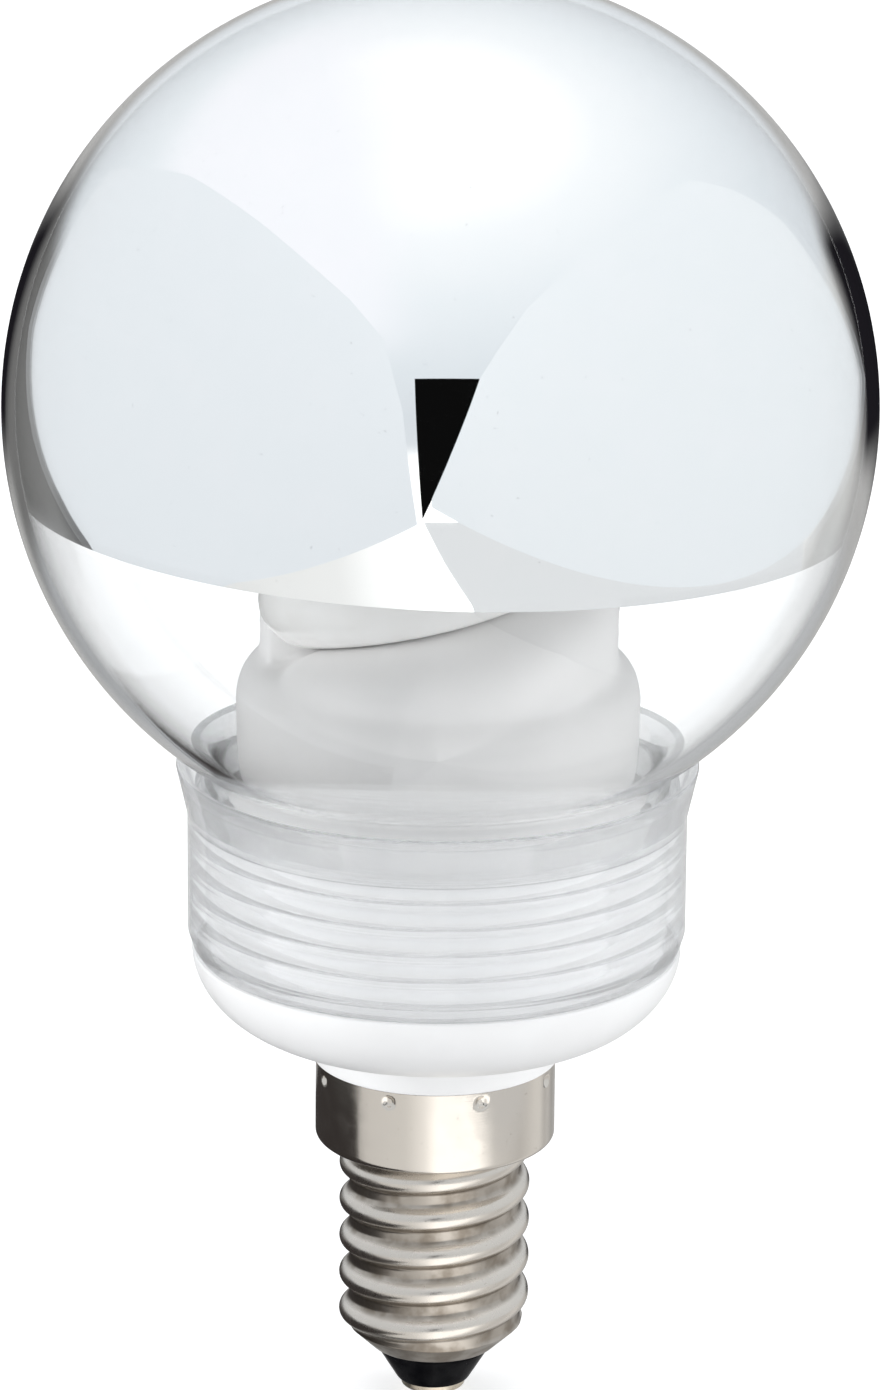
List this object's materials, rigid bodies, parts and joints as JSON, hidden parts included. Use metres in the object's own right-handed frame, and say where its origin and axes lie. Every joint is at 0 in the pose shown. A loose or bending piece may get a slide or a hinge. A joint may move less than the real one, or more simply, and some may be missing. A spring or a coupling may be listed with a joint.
{
  "type": "globe energy saving bulb",
  "caption": "Compact fluorescent lamp with a crown-silvered glass globe, a spiral tube inside, a clear collar, a white cup and a screw cap.",
  "frame": {"origin": "on the lamp's axis at the lowest point of the contact at the cap's tip", "axes": "+Z along the lamp's axis, from the contact towards the globe; -Y is the side that the picture shows"},
  "size_m": [0.0608, 0.0608, 0.1041],
  "materials": {
    "clear_glass": "clear blown glass, glossy",
    "silver_film": "evaporated silver mirror behind the glass",
    "clear_plastic": "clear moulded plastic",
    "clear_silicone": "clear silicone",
    "white_plastic": "satin white moulded plastic",
    "phosphor_glass": "glass tube, white inside with phosphor",
    "tinned_wire": "tinned wire",
    "board_laminate": "bare paper laminate",
    "solder": "bright solder",
    "black_sleeve": "shrunk black sleeve",
    "ferrite": "matt sintered ferrite",
    "bobbin_plastic": "moulded black plastic",
    "copper_wire": "enamelled copper wire",
    "green_ferrite": "painted ferrite ring",
    "black_resin": "moulded resin",
    "red_film": "dipped resin",
    "resistor_body": "lacquered ceramic",
    "diode_glass": "tinted glass bead",
    "red_insulation": "wire insulation",
    "blue_insulation": "wire insulation",
    "nickel_plate": "bright nickel plate on rolled brass",
    "black_glass": "glossy black pressed glass"
  },
  "bodies": {
    "root": {"glass_globe": "clear_glass", "mirror_coating": "silver_film", "clear_collar": "clear_plastic", "globe_adhesive": "clear_silicone", "lower_cup": "white_plastic", "tube_cover": "white_plastic", "spiral_tube": "phosphor_glass", "tube_leads": "tinned_wire", "wrap_pins": "tinned_wire", "circuit_board": "board_laminate", "solder_joints": "solder", "electrolytic_capacitor": "black_sleeve", "choke_core": "ferrite", "choke_bobbin": "bobbin_plastic", "choke_winding": "copper_wire", "toroid_core": "green_ferrite", "toroid_winding": "copper_wire", "transistors": "black_resin", "resonant_capacitor": "red_film", "blocking_capacitor": "red_film", "rectifier_diodes": "black_resin", "resistors": "resistor_body", "diac": "diode_glass", "fusible_resistor": "resistor_body", "live_wire": "red_insulation", "neutral_wire": "blue_insulation", "side_solder": "solder", "cap_shell": "nickel_plate", "cap_insulator": "black_glass", "centre_contact": "nickel_plate", "contact_solder": "solder"}
  },
  "joints": []
}
